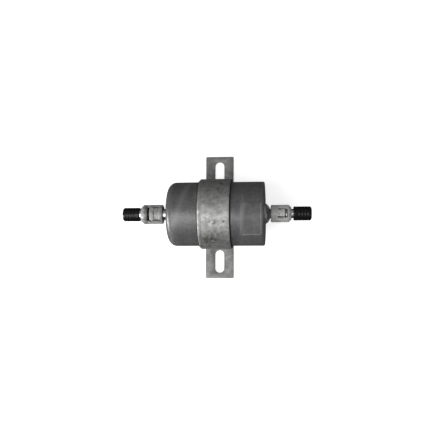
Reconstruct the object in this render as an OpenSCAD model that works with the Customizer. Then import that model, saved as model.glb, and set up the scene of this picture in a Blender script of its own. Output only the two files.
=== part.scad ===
// In-line fuel filter: a steel canister held by a sheet-metal band on a slotted plate,
// with a quick-connect tube, a plastic retainer and a shipping cap at each end.
// The plate lies on Z = 0, the canister's axis runs along X, and the dome is at -X.

/* [Canister] */
// Outside diameter of the canister
can_d = 55; // [50:0.5:60]
// Length of the canister, from the crown of the dome to the rolled rim
can_len = 84.8; // [82:0.2:95]
// Sheet thickness of the canister
can_wall = 0.9; // [0.7:0.1:1.1]
// How far the canister's middle lies to +X of the bracket's middle
can_shift = -0.6; // [-3:0.2:3]
// Crown radius of the domed end
crown_r = 105; // [90:1:140]
// Knuckle radius between the dome and the wall
knuckle_r = 7; // [5:0.5:8]
// Outside corner radius of the rolled rim
rim_r = 1.3; // [1:0.1:1.5]
// Radius of the opening inside the rolled lip
lip_r = 23.8; // [23:0.1:24.5]

/* [End cover] */
// Sheet thickness of the end cover
cover_t = 1.2; // [1:0.1:1.4]
// How far the middle panel lies below the rim
panel_drop = 0.2; // [0.1:0.1:0.4]
// Length of the cover's skirt inside the canister
skirt_len = 7; // [5:0.5:9]
// Diameter of the boss at its foot
boss_d = 18; // [16:0.5:20]
// Height of the boss above the middle panel
boss_h = 4.6; // [4:0.2:4.8]

/* [Tubes] */
// Outside diameter of the inlet tube, at the dome
inlet_d = 9.5; // [8:0.1:10]
// Outside diameter of the outlet tube, at the cover
outlet_d = 8; // [7:0.1:8.4]
// Wall thickness of both tubes
tube_wall = 0.8; // [0.6:0.1:1]
// X of the inlet tube's open end
inlet_tip_x = -80.1; // [-81:0.1:-78]
// X of the outlet tube's open end
outlet_tip_x = 80.1; // [79:0.1:82]
// Width of the bead on each tube
bead_w = 1.3; // [1:0.1:1.4]
// How far each bead stands out from its tube
bead_h = 2.25; // [2:0.05:2.3]

/* [Retainers] */
// Outside diameter of the inlet retainer
inlet_ret_d = 16.6; // [16:0.1:17.4]
// Length of the inlet retainer
inlet_ret_len = 19.2; // [18.6:0.1:19.6]
// Outside diameter of the outlet retainer
outlet_ret_d = 15; // [14.6:0.1:16]
// Length of the outlet retainer
outlet_ret_len = 17.5; // [17:0.1:18.4]
// Wall thickness of the retainer sleeves
ret_wall = 1.2; // [1:0.1:1.3]
// Length of each sleeve's rounded nose
nose_taper = 2.6; // [2:0.1:2.8]

/* [Caps] */
// Outside diameter of the inlet cap
inlet_cap_d = 11.8; // [11.4:0.1:13]
// Outside diameter of the outlet cap
outlet_cap_d = 12; // [10:0.1:13]
// Length of the inlet cap
inlet_cap_len = 15.1; // [12:0.1:15.4]
// Length of the outlet cap
outlet_cap_len = 15.6; // [12:0.1:15.8]
// Thickness of the caps' closed ends
cap_end_t = 1.5; // [1:0.1:1.5]

/* [Bracket] */
// Length of the mounting plate
plate_len = 110; // [106:1:120]
// Width of the mounting plate
plate_w = 25; // [22:0.5:26]
// Thickness of the mounting plate
plate_t = 2; // [1.6:0.1:2.5]
// Corner radius of the mounting plate
plate_corner_r = 0.8; // [0.4:0.1:3]
// Distance between the middles of the two slots
slot_spacing = 80; // [78:0.5:84]
// Length of each slot, end to end
slot_len = 20.2; // [18:0.1:21]
// Width of each slot
slot_w = 8.2; // [6.5:0.1:9]
// Width of the band
band_w = 26.7; // [24:0.1:30]
// Sheet thickness of the band
band_t = 1.5; // [1.2:0.1:1.8]
// Thickness of the rubber liner under the band
liner_t = 1.2; // [0.8:0.1:1.5]
// How far the liner shows on each side of the band
liner_show = 0.8; // [0.4:0.1:1.2]
// Half the width of the flat where the band's ends lie on the plate
foot_half = 6; // [5:0.1:6.5]
// Gap between the band's two ends
band_gap = 2; // [1:0.1:3]

/* [Filter element] */
// Number of pleats in the paper
pleats = 36; // [24:1:40]
// Outside radius of the pleats
pleat_tip_r = 22; // [20:0.5:22]
// Inside radius of the pleats
pleat_root_r = 10; // [9.5:0.1:11]
// Thickness of the paper
paper_t = 0.5; // [0.4:0.05:0.6]
// Outside radius of the perforated centre tube
core_r = 8.9; // [8.6:0.1:9.2]
// Rows of holes along the centre tube
core_rows = 6; // [3:1:7]
// Turns of the load spring
spring_turns = 3.5; // [3:0.5:4]
// Wire diameter of the load spring
spring_wire = 1.2; // [1:0.1:1.4]

/* [Hidden] */
$fn = 96;
over = 1;

can_r = can_d / 2;
dome_x = can_shift - can_len / 2;
rim_x = can_shift + can_len / 2;
// The band's flat feet press the outer circle of the band down onto the plate.
band_in_r = can_r + liner_t;
band_out_r = band_in_r + band_t;
axis_z = plate_t + sqrt(band_out_r * band_out_r - foot_half * foot_half);

// The knuckle touches both the crown and the wall, so its centre follows from the three radii.
knuckle_at_r = can_r - knuckle_r;
crown_x = dome_x + crown_r;
knuckle_x = crown_x - sqrt(pow(crown_r - knuckle_r, 2) - knuckle_at_r * knuckle_at_r);
knuckle_angle = asin(knuckle_at_r / (crown_r - knuckle_r));

panel_x = rim_x - panel_drop;
flange_x = rim_x - can_wall;
panel_r = 21.8;
seal_r = 0.55;
boss_x = panel_x;
boss_dome_r = 10.5;
boss_neck_r = outlet_d / 2 + 1.2;

collar_r = inlet_d / 2 + 0.95;
collar_hole_r = inlet_d / 2 + 0.6;

ret_fit = 0.08;
cap_fit = 0.05;
inlet_ret_x = dome_x - 3.2;
outlet_ret_x = panel_x + boss_h + 0.7;
inlet_base_len = 1.3;
inlet_finger_len = 10;
inlet_finger_w = 11.2;
inlet_window_w = 12.9;
inlet_window_len = 11.9;
outlet_base_len = 6.3;
outlet_finger_len = 6.3;
outlet_finger_w = 6.6;
outlet_window_w = 9.3;
outlet_window_len = 8.1;
bead_gap = 0.4;
barb_h = 0.35;
inlet_bead_x = inlet_ret_x - inlet_base_len - inlet_finger_len - bead_gap - bead_w / 2;
outlet_bead_x = outlet_ret_x + outlet_base_len + outlet_finger_len + bead_gap + bead_w / 2;
inlet_finger_in_r = inlet_d / 2 + 1.65;
outlet_finger_in_r = outlet_d / 2 + 1.65;

cap_sheet = 0.8;
cap_rim = 3;
potting_t = 1.8;
cap_r = 24;
open_face_x = 37.5;
closed_face_x = -33.5;
paper_x0 = closed_face_x + cap_sheet + potting_t;
paper_x1 = open_face_x - cap_sheet - potting_t;
grommet_neck_r = 5.6;
grommet_flange_r = 7.2;
grommet_fit = 0.05;
spigot_x = open_face_x - 4.5;
spring_r = 10;
spring_seat_r = 8.6;

// Places a shape drawn along Z from the origin along X, on the canister's axis.
module on_axis() {
    translate([0, 0, axis_z])
        rotate([0, 90, 0])
            children();
}

// Turns a profile of [radius, X] about the canister's axis.
module turned() {
    on_axis()
        rotate_extrude()
            children();
}

// A ring between two radii and two values of X, as a profile.
module ring_profile(r0, r1, x0, x1) {
    translate([r0, min(x0, x1)])
        square([r1 - r0, abs(x1 - x0)]);
}

// The solid shape inside the canister's wall, pulled in by inset and ending at end_x.
module head_profile(inset, end_x) {
    reach = knuckle_r + 5;
    ray_r = knuckle_at_r + reach * sin(knuckle_angle);
    ray_x = knuckle_x - reach * cos(knuckle_angle);
    intersection() {
        translate([0, crown_x])
            circle(r = crown_r - inset, $fn = 360);
        polygon([[0, knuckle_x], [knuckle_at_r, knuckle_x], [ray_r, ray_x], [0, ray_x]]);
    }
    translate([knuckle_at_r, knuckle_x])
        circle(r = knuckle_r - inset);
    ring_profile(0, can_r - inset, knuckle_x, end_x);
}

module can_shell() {
    color([0.33, 0.33, 0.34])
        turned()
            difference() {
                union() {
                    head_profile(0, rim_x - rim_r);
                    ring_profile(0, can_r - rim_r, rim_x - rim_r - over, rim_x);
                    translate([can_r - rim_r, rim_x - rim_r])
                        circle(r = rim_r);
                }
                head_profile(can_wall, flange_x);
                ring_profile(0, lip_r, flange_x - over, rim_x + over);
                ring_profile(0, collar_hole_r, dome_x - over, dome_x + 3);
            }
}

// A blank film label that wraps part of the way round the canister near its rim.
module data_label() {
    label_x0 = rim_x - 19.4;
    label_len = 17.3;
    label_t = 0.1;
    label_from = -45;
    label_to = 14;
    color([0.28, 0.28, 0.29])
        on_axis()
            rotate([0, 0, 180 - label_to])
                rotate_extrude(angle = label_to - label_from)
                    ring_profile(can_r, can_r + label_t, label_x0, label_x0 + label_len);
}

module end_cover() {
    joggle_r = panel_r + cover_t;
    skirt_r = can_r - can_wall;
    seat = 2 * seal_r + 0.1;
    color([0.36, 0.36, 0.37])
        turned()
            difference() {
                union() {
                    ring_profile(outlet_d / 2, joggle_r, panel_x - cover_t, panel_x);
                    ring_profile(panel_r, skirt_r, flange_x - 2 * cover_t, flange_x);
                    ring_profile(skirt_r - cover_t, skirt_r, flange_x - skirt_len, flange_x);
                }
                ring_profile(joggle_r - 0.2, can_r, flange_x, rim_x + over);
                ring_profile(skirt_r - seat, skirt_r + over, flange_x - seat, rim_x);
                ring_profile(panel_r + cover_t, skirt_r - 2 * cover_t + 0.4,
                    flange_x - 3 * cover_t, flange_x - cover_t);
            }
}

// The rubber ring squeezed in the corner under the rolled lip.
module cover_seal() {
    seal_at_r = can_r - can_wall - seal_r - 0.02;
    color([0.1, 0.1, 0.1])
        turned()
            translate([seal_at_r, flange_x - seal_r - 0.02])
                circle(r = seal_r, $fn = 32);
}

// The domed boss brazed to the cover round the outlet tube.
module outlet_boss() {
    foot_h = 0.8;
    dome_drop = sqrt(pow(boss_dome_r, 2) - pow(boss_d / 2, 2));
    color([0.24, 0.24, 0.25])
        turned()
            difference() {
                union() {
                    ring_profile(0, boss_d / 2, boss_x, boss_x + foot_h);
                    intersection() {
                        translate([0, boss_x + foot_h - dome_drop])
                            circle(r = boss_dome_r);
                        ring_profile(0, boss_d / 2, boss_x, boss_x + boss_h - 0.7);
                    }
                    ring_profile(0, boss_neck_r, boss_x, boss_x + boss_h);
                }
                ring_profile(0, outlet_d / 2, boss_x - over, boss_x + boss_h + over);
            }
}

// The flanged collar brazed into the hole in the dome.
module inlet_collar() {
    shoulder_x = dome_x - 0.8;
    flange_at_x = dome_x + can_wall + 0.4;
    color([0.42, 0.42, 0.43])
        turned()
            difference() {
                union() {
                    ring_profile(0, collar_hole_r - 0.2, shoulder_x, flange_at_x + 1);
                    ring_profile(0, collar_hole_r, dome_x, flange_at_x + 1);
                    ring_profile(0, collar_r, shoulder_x + 0.3, dome_x);
                    ring_profile(0, collar_r + 1.5, flange_at_x, flange_at_x + 1);
                }
                ring_profile(0, inlet_d / 2, shoulder_x - over, flange_at_x + 2 * over);
            }
}

// A tube with an upset bead; tip_x is its open end and root_x its end inside the canister.
module tube(d, root_x, tip_x, bead_x) {
    lead = 0.4;
    bead_r = bead_w / 2;
    away = sign(tip_x);
    turned()
        difference() {
            union() {
                ring_profile(0, d / 2, root_x, tip_x - away * lead);
                ring_profile(0, d / 2 - lead, root_x, tip_x);
                translate([d / 2 - lead, tip_x - away * lead])
                    circle(r = lead, $fn = 32);
                ring_profile(0, d / 2 + bead_h - bead_r, bead_x - bead_r, bead_x + bead_r);
                translate([d / 2 + bead_h - bead_r, bead_x])
                    circle(r = bead_r, $fn = 48);
            }
            ring_profile(0, d / 2 - tube_wall, root_x - away * over, tip_x + away * over);
        }
}

module inlet_tube() {
    color([0.62, 0.63, 0.64])
        tube(inlet_d, dome_x + 3, inlet_tip_x, inlet_bead_x);
}

module outlet_tube() {
    color([0.62, 0.63, 0.64])
        tube(outlet_d, spigot_x, outlet_tip_x, outlet_bead_x);
}

// A retainer sleeve drawn along Z, with its base at Z = 0 and its nose at Z = len.
// A window is cut in its front and its back from base_len on.
module retainer_sleeve(d, len, bore_r, base_len, window_len, window_w) {
    rim = 0.8;
    wall_r = d / 2;
    nose_r = bore_r + 1.1;
    cavity_end = base_len + window_len;
    difference() {
        rotate_extrude()
            difference() {
                union() {
                    ring_profile(0, wall_r, rim, len - nose_taper);
                    ring_profile(0, wall_r - rim, 0, len - nose_taper);
                    translate([wall_r - rim, rim])
                        circle(r = rim, $fn = 48);
                    polygon([
                        [0, len - nose_taper - over],
                        [wall_r, len - nose_taper - over],
                        [wall_r, len - nose_taper],
                        [wall_r - 0.5, len - nose_taper + 0.9],
                        [nose_r, len],
                        [0, len]
                    ]);
                }
                ring_profile(0, bore_r, -over, len + over);
                ring_profile(0, wall_r - ret_wall, base_len, cavity_end);
            }
        translate([-wall_r - over, -window_w / 2, base_len])
            cube([2 * (wall_r + over), window_w, window_len]);
    }
}

// One locking finger of a retainer, on the +X side of the same Z axis as its sleeve.
module retainer_finger(d, in_r, base_len, finger_len, finger_w) {
    barb_len = finger_len * 0.36;
    step_x = d / 2 - 0.35;
    intersection() {
        rotate_extrude()
            difference() {
                union() {
                    ring_profile(in_r, step_x, base_len, base_len + finger_len);
                    ring_profile(in_r, d / 2, base_len, base_len + finger_len * 0.16);
                    polygon([
                        [in_r, base_len + finger_len - barb_len - 0.6],
                        [step_x, base_len + finger_len - barb_len - 0.6],
                        [d / 2 + barb_h, base_len + finger_len - barb_len + 0.2],
                        [d / 2 + barb_h, base_len + finger_len - 0.5],
                        [d / 2, base_len + finger_len],
                        [in_r, base_len + finger_len]
                    ]);
                }
            }
        translate([0, -finger_w / 2, base_len - over])
            cube([d, finger_w, finger_len + 2 * over]);
    }
}

// Places a retainer shape: side is -1 at the inlet and 1 at the outlet, and its base is at base_x.
module at_retainer(side, base_x) {
    translate([base_x, 0, axis_z])
        rotate([0, 90 * side, 0])
            children();
}

module inlet_retainer() {
    color([0.72, 0.72, 0.7])
        at_retainer(-1, inlet_ret_x)
            retainer_sleeve(inlet_ret_d, inlet_ret_len, inlet_d / 2 + ret_fit,
                inlet_base_len, inlet_window_len, inlet_window_w);
}

module outlet_retainer() {
    color([0.72, 0.72, 0.7])
        at_retainer(1, outlet_ret_x)
            retainer_sleeve(outlet_ret_d, outlet_ret_len, outlet_d / 2 + ret_fit,
                outlet_base_len, outlet_window_len, outlet_window_w);
}

module inlet_finger() {
    retainer_finger(inlet_ret_d, inlet_finger_in_r,
        inlet_base_len, inlet_finger_len, inlet_finger_w);
}

module outlet_finger() {
    retainer_finger(outlet_ret_d, outlet_finger_in_r,
        outlet_base_len, outlet_finger_len, outlet_finger_w);
}

module inlet_finger_front() {
    color([0.78, 0.78, 0.76])
        at_retainer(-1, inlet_ret_x)
            inlet_finger();
}

module inlet_finger_back() {
    color([0.78, 0.78, 0.76])
        at_retainer(-1, inlet_ret_x)
            rotate([0, 0, 180])
                inlet_finger();
}

module outlet_finger_front() {
    color([0.78, 0.78, 0.76])
        at_retainer(1, outlet_ret_x)
            rotate([0, 0, 180])
                outlet_finger();
}

module outlet_finger_back() {
    color([0.78, 0.78, 0.76])
        at_retainer(1, outlet_ret_x)
            outlet_finger();
}

// A push-on cap over a tube's open end at tip_x.
module push_cap(d, len, bore_r, tip_x) {
    away = sign(tip_x);
    end_x = tip_x + away * (cap_end_t + 0.1);
    round_r = 1.2;
    turned()
        difference() {
            union() {
                ring_profile(0, d / 2, end_x - away * len, end_x - away * round_r);
                ring_profile(0, d / 2 - round_r, end_x - away * len, end_x);
                translate([d / 2 - round_r, end_x - away * round_r])
                    circle(r = round_r, $fn = 48);
            }
            ring_profile(0, bore_r, end_x - away * (len + over), end_x - away * cap_end_t);
        }
}

module inlet_cap() {
    color([0.06, 0.06, 0.06])
        push_cap(inlet_cap_d, inlet_cap_len, inlet_d / 2 + cap_fit, inlet_tip_x);
}

module outlet_cap() {
    color([0.06, 0.06, 0.06])
        push_cap(outlet_cap_d, outlet_cap_len, outlet_d / 2 + cap_fit, outlet_tip_x);
}

// A slot through the plate, centred on at_y and running along Y.
module plate_slot(at_y) {
    end_y = (slot_len - slot_w) / 2;
    for (side = [-1, 1])
        translate([0, at_y + side * end_y, -over])
            cylinder(d = slot_w, h = plate_t + 2 * over);
    translate([-slot_w / 2, at_y - end_y, -over])
        cube([slot_w, 2 * end_y, plate_t + 2 * over]);
}

module mounting_plate() {
    corner_x = plate_w / 2 - plate_corner_r;
    corner_y = plate_len / 2 - plate_corner_r;
    color([0.52, 0.52, 0.51])
        difference() {
            linear_extrude(height = plate_t)
                union() {
                    square([plate_w, 2 * corner_y], center = true);
                    square([2 * corner_x, plate_len], center = true);
                    for (x = [-corner_x, corner_x], y = [-corner_y, corner_y])
                        translate([x, y])
                            circle(r = plate_corner_r, $fn = 32);
                }
            plate_slot(-slot_spacing / 2);
            plate_slot(slot_spacing / 2);
        }
}

// The band: one strip bent round the liner, with its two ends flat on the plate.
module clamp_band() {
    edge = band_w / 2;
    edge_r = band_t - 0.05;
    foot_top = plate_t + band_t;
    dimple_angle = 18;
    color([0.66, 0.66, 0.64]) {
        difference() {
            union() {
                turned()
                    union() {
                        ring_profile(band_in_r, band_out_r, edge_r - edge, edge);
                        difference() {
                            translate([band_out_r - edge_r, edge_r - edge])
                                circle(r = edge_r, $fn = 48);
                            ring_profile(0, band_in_r, -edge - over, edge);
                        }
                    }
                translate([0, 0, plate_t + band_t / 2])
                    cube([band_w - 3, 2 * foot_half, band_t], center = true);
                translate([0, 0, axis_z])
                    rotate([dimple_angle, 0, 0])
                        translate([0, 0, band_out_r - 3.4])
                            intersection() {
                                sphere(r = 4.1, $fn = 48);
                                translate([0, 0, 2.6])
                                    cylinder(r = 3, h = 3);
                            }
            }
            translate([-band_w, -2 * foot_half, plate_t - 10])
                cube([2 * band_w, 4 * foot_half, 10]);
            translate([-band_w, -band_gap / 2, plate_t - over])
                cube([2 * band_w, band_gap, band_t + 2 * over]);
            translate([0, 0, foot_top + 5])
                cube([2 * band_w, 2 * foot_half - 1, 10], center = true);
        }
    }
}

// The rubber strip between the band and the canister, open over the band's feet.
module band_liner() {
    half = band_w / 2 + liner_show;
    open_half = foot_half + 2;
    color([0.09, 0.09, 0.09])
        difference() {
            turned()
                ring_profile(can_r, band_in_r, -half, half);
            translate([-band_w, -open_half, 0])
                cube([2 * band_w, 2 * open_half, axis_z / 2]);
        }
}

// The outline of a ring of pleats; each pleat is a straight-sided tooth.
function pleat_outline(tip_r, root_r, half_w) = [
    for (i = [0 : pleats - 1], corner = [[root_r, -1], [tip_r, -1], [tip_r, 1], [root_r, 1]])
        let (a = 360 * i / pleats, u = corner[0], v = corner[1] * half_w)
            [u * cos(a) - v * sin(a), u * sin(a) + v * cos(a)]
];

module filter_paper() {
    fold_half = 0.7;
    color([0.86, 0.76, 0.5])
        translate([paper_x0, 0, axis_z])
            rotate([0, 90, 0])
                linear_extrude(height = paper_x1 - paper_x0)
                    difference() {
                        polygon(pleat_outline(pleat_tip_r, pleat_root_r + paper_t, fold_half));
                        polygon(pleat_outline(pleat_tip_r - paper_t, pleat_root_r, fold_half - paper_t));
                    }
}

// A thin tube along the element with rows of round holes through it.
module perforated_tube(r, wall, columns, rows, hole_r) {
    length = paper_x1 - paper_x0;
    pitch = length / rows;
    translate([paper_x0, 0, axis_z])
        rotate([0, 90, 0])
            difference() {
                cylinder(r = r, h = length);
                translate([0, 0, -over])
                    cylinder(r = r - wall, h = length + 2 * over);
                for (row = [0 : rows - 1], column = [0 : columns - 1])
                    translate([0, 0, (row + 0.5) * pitch])
                        rotate([90, 0, (column + (row % 2) / 2) * 360 / columns])
                            translate([0, 0, r / 2])
                                cylinder(r = hole_r, h = r, $fn = 24);
            }
}

module outer_screen() {
    color([0.75, 0.75, 0.73])
        perforated_tube(pleat_tip_r + 0.9, 0.4, 12, core_rows, 4);
}

module centre_tube() {
    color([0.7, 0.7, 0.68])
        perforated_tube(core_r, 0.6, 8, core_rows, 2);
}

module closed_end_cap() {
    boss_in = spring_seat_r - cap_sheet;
    color([0.72, 0.72, 0.7])
        turned()
            difference() {
                union() {
                    ring_profile(0, cap_r, closed_face_x, closed_face_x + cap_sheet);
                    ring_profile(cap_r - cap_sheet, cap_r, closed_face_x, closed_face_x + cap_rim);
                    ring_profile(0, spring_seat_r, closed_face_x - 1.2, closed_face_x + cap_sheet);
                }
                ring_profile(0, boss_in, closed_face_x - 1.2 + cap_sheet, closed_face_x + over);
            }
}

module closed_end_potting() {
    color([0.55, 0.4, 0.25])
        turned()
            ring_profile(0, cap_r - cap_sheet, closed_face_x + cap_sheet, paper_x0);
}

module open_end_cap() {
    color([0.72, 0.72, 0.7])
        turned() {
            ring_profile(grommet_neck_r, cap_r, open_face_x - cap_sheet, open_face_x);
            ring_profile(cap_r - cap_sheet, cap_r, open_face_x - cap_rim, open_face_x);
        }
}

module open_end_potting() {
    color([0.55, 0.4, 0.25])
        turned()
            ring_profile(core_r - 0.6, cap_r - cap_sheet, paper_x1, open_face_x - cap_sheet);
}

// The seal between the element and the outlet tube's inner end.
module outlet_grommet() {
    bore = outlet_d / 2 + grommet_fit;
    seat_x = panel_x - cover_t - 0.1;
    color([0.08, 0.08, 0.08])
        turned() {
            ring_profile(bore, grommet_flange_r, open_face_x, seat_x);
            ring_profile(bore, grommet_neck_r, open_face_x - cap_sheet, open_face_x);
            ring_profile(bore, grommet_flange_r - 0.2, open_face_x - 2.2, open_face_x - cap_sheet);
        }
}

// One wire section of the load spring at the turn t, as points round the wire.
function spring_ring(t, sides, from, to) =
    let (a = 360 * t * spring_turns, mid = from + (to - from) * t)
        [for (k = [0 : sides - 1])
            let (b = 360 * k / sides, r = spring_r + spring_wire / 2 * cos(b))
                [r * cos(a), r * sin(a), mid + spring_wire / 2 * sin(b)]];

// The compression spring that holds the element against the outlet seat.
module load_spring() {
    sides = 8;
    steps = 84;
    from = dome_x + can_wall + 0.5 + spring_wire / 2 + 0.1;
    to = closed_face_x - spring_wire / 2 - 0.1;
    rings = [for (i = [0 : steps]) spring_ring(i / steps, sides, from, to)];
    points = [for (ring = rings, p = ring) p];
    walls = [
        for (i = [0 : steps - 1], k = [0 : sides - 1])
            let (n = (k + 1) % sides, a = i * sides, b = (i + 1) * sides)
                [a + k, b + k, b + n, a + n]
    ];
    start = [for (k = [0 : sides - 1]) k];
    finish = [for (k = [sides - 1 : -1 : 0]) steps * sides + k];
    color([0.6, 0.6, 0.6])
        on_axis()
            polyhedron(points = points, faces = concat([start], walls, [finish]), convexity = 6);
}

mounting_plate();
clamp_band();
band_liner();
can_shell();
data_label();
end_cover();
cover_seal();
outlet_boss();
inlet_collar();
inlet_tube();
outlet_tube();
inlet_retainer();
inlet_finger_front();
inlet_finger_back();
outlet_retainer();
outlet_finger_front();
outlet_finger_back();
inlet_cap();
outlet_cap();
filter_paper();
outer_screen();
centre_tube();
closed_end_cap();
closed_end_potting();
open_end_cap();
open_end_potting();
outlet_grommet();
load_spring();
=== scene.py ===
"""In-line fuel filter in its bracket: canister, band, plate, tubes, retainers and push-on caps."""

import math

import bmesh
import bpy
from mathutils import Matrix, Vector


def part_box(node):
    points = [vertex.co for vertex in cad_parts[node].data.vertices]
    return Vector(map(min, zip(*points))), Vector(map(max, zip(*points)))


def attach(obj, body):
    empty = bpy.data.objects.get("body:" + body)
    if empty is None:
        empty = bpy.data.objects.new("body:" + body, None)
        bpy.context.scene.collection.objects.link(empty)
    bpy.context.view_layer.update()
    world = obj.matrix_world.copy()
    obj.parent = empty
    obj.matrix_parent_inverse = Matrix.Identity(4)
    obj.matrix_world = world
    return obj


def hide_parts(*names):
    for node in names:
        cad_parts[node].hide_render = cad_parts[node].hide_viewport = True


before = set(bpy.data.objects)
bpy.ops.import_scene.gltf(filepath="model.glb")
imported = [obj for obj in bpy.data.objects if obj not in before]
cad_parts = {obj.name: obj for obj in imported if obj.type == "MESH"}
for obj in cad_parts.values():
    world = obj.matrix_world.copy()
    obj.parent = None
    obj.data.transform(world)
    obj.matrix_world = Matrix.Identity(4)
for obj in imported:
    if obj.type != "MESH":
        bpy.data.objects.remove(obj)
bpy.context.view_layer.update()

MM = 0.001
X, Y, Z = 0, 1, 2


# ---------------------------------------------------------------- places taken from the frame

def span(node, axis):
    """Lowest and highest value of a node along one axis."""
    low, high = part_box(node)
    return low[axis], high[axis]


def radius_of(node):
    """Outside radius of a node that is turned about the canister's axis."""
    low, high = span(node, Z)
    return (high - low) / 2


can_low_z, can_high_z = span("can_shell", Z)
AXIS_Z = (can_low_z + can_high_z) / 2
AXIS = Vector((0, 0, AXIS_Z))
CAN_R = (can_high_z - can_low_z) / 2
PLATE_TOP = span("mounting_plate", Z)[1]

SHEET = 0.9 * MM
TUBE_SHEET = 0.8 * MM
INLET_TUBE_R, OUTLET_TUBE_R = 4.75 * MM, 4.0 * MM
INLET_BEAD_X, OUTLET_BEAD_X = -58.55 * MM, 60.55 * MM
RETAINER_FIT, CAP_FIT = 0.08 * MM, 0.05 * MM
LINER = 1.2 * MM
LABEL_FROM, LABEL_TO = -45, 14
TINY = 0.001 * MM
SEAM = 0.002 * MM


# ---------------------------------------------------------------- modelling helpers

def fresh(name, add, **how):
    """Adds one primitive with nothing else selected, and starts editing it."""
    bpy.ops.object.select_all(action="DESELECT")
    add(**how)
    bpy.ops.object.transform_apply(location=True, rotation=True, scale=True)
    piece = bpy.context.active_object
    piece.name = name
    piece.data.name = name
    bpy.ops.object.mode_set(mode="EDIT")
    bpy.ops.mesh.select_mode(type="VERT")
    bpy.ops.mesh.select_all(action="SELECT")
    return piece


def pick(piece, kind, test):
    """Selects the vertices, edges or faces whose place passes the test, and nothing else."""
    bpy.ops.mesh.select_mode(type=kind)
    bpy.ops.mesh.select_all(action="DESELECT")
    mesh = bmesh.from_edit_mesh(piece.data)
    if kind == "VERT":
        found = [vertex for vertex in mesh.verts if test(vertex.co)]
    elif kind == "EDGE":
        found = [edge for edge in mesh.edges if test((edge.verts[0].co + edge.verts[1].co) / 2, edge)]
    else:
        found = [face for face in mesh.faces if test(face.calc_center_median(), face)]
    for item in found:
        item.select_set(True)
    mesh.select_flush_mode()
    bmesh.update_edit_mesh(piece.data)


def off_axis(place):
    """Distance from the canister's axis."""
    return math.hypot(place.y, place.z - AXIS_Z)


def turn_of(place):
    """Angle round the axis in degrees, 0 at the top and positive toward +Y."""
    return math.degrees(math.atan2(place.y, place.z - AXIS_Z))


def modify(piece, kind, **values):
    """Adds a modifier with these values and applies it."""
    modifier = piece.modifiers.new(kind.title(), kind)
    for key, value in values.items():
        setattr(modifier, key, value)
    bpy.ops.object.modifier_apply(modifier=modifier.name)


def soften(piece, width, segments=2, limit=35):
    """Rounds off the sharp edges of a finished shape."""
    modify(piece, "BEVEL", width=width, segments=segments, limit_method="ANGLE",
           angle_limit=math.radians(limit), use_clamp_overlap=True)


def done(piece, smooth=35):
    """Leaves edit mode with clean outward normals and smooth shading."""
    if piece.mode == "EDIT":
        bpy.ops.mesh.select_all(action="SELECT")
        bpy.ops.mesh.remove_doubles(threshold=SEAM)
        bpy.ops.mesh.normals_make_consistent(inside=False)
        bpy.ops.object.mode_set(mode="OBJECT")
    bpy.ops.object.shade_smooth_by_angle(angle=math.radians(smooth))
    return piece


def arc(centre_x, centre_r, radius, start, end, steps):
    """Points of an arc in an outline; 180 degrees is toward -X and 90 is away from the axis."""
    turns = [math.radians(start + (end - start) * i / steps) for i in range(steps + 1)]
    return [(centre_x + radius * math.cos(a), centre_r + radius * math.sin(a)) for a in turns]


def draw_outline(name, corners, closed):
    """Draws a turned piece's outline over the axis, from corners of (x, radius[, rounding])."""
    x, r = corners[0][:2]
    piece = fresh(name, bpy.ops.mesh.primitive_plane_add, size=MM)
    bpy.ops.mesh.merge(type="CENTER")
    bpy.ops.transform.translate(value=(x, 0, AXIS_Z + r))
    for before, after in zip(corners, corners[1:]):
        step = (after[0] - before[0], 0, after[1] - before[1])
        bpy.ops.mesh.extrude_vertices_move(TRANSFORM_OT_translate={"value": step})
    if closed:
        bpy.ops.mesh.select_all(action="SELECT")
        bpy.ops.mesh.edge_face_add()
        bpy.ops.mesh.delete(type="ONLY_FACE")
    rounded = [corner for corner in corners if len(corner) == 3]
    for width in sorted({corner[2] for corner in rounded}):
        places = [Vector((c[0], 0, AXIS_Z + c[1])) for c in rounded if c[2] == width]
        pick(piece, "VERT", lambda co: any((co - place).length < 0.01 * MM for place in places))
        bpy.ops.mesh.bevel(offset=width, offset_type="OFFSET", segments=5, affect="VERTICES")
    return piece


def turned(name, corners, steps=96, closed=True, start=0, sweep=360):
    """A piece turned about the canister's axis; a sweep under 360 leaves two ends, which are filled."""
    piece = draw_outline(name, corners, closed)
    bpy.ops.mesh.select_all(action="SELECT")
    if start:
        bpy.ops.mesh.spin(steps=1, angle=math.radians(start), center=AXIS, axis=(1, 0, 0), dupli=True)
        pick(piece, "VERT", lambda co: abs(co.y) < TINY and co.z > AXIS_Z)
        bpy.ops.mesh.delete(type="VERT")
        bpy.ops.mesh.select_all(action="SELECT")
    bpy.ops.mesh.spin(steps=steps, angle=math.radians(sweep), center=AXIS, axis=(1, 0, 0))
    if sweep < 360 and closed:
        for end in (start, start + sweep):
            pick(piece, "EDGE", lambda co, edge: edge.is_boundary and near_turn(co, end))
            bpy.ops.mesh.edge_face_add()
    return piece


def near_turn(place, angle):
    """Whether a place lies at this angle round the axis."""
    return abs((turn_of(place) - angle + 180) % 360 - 180) < 0.5


# ---------------------------------------------------------------- bracket

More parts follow.
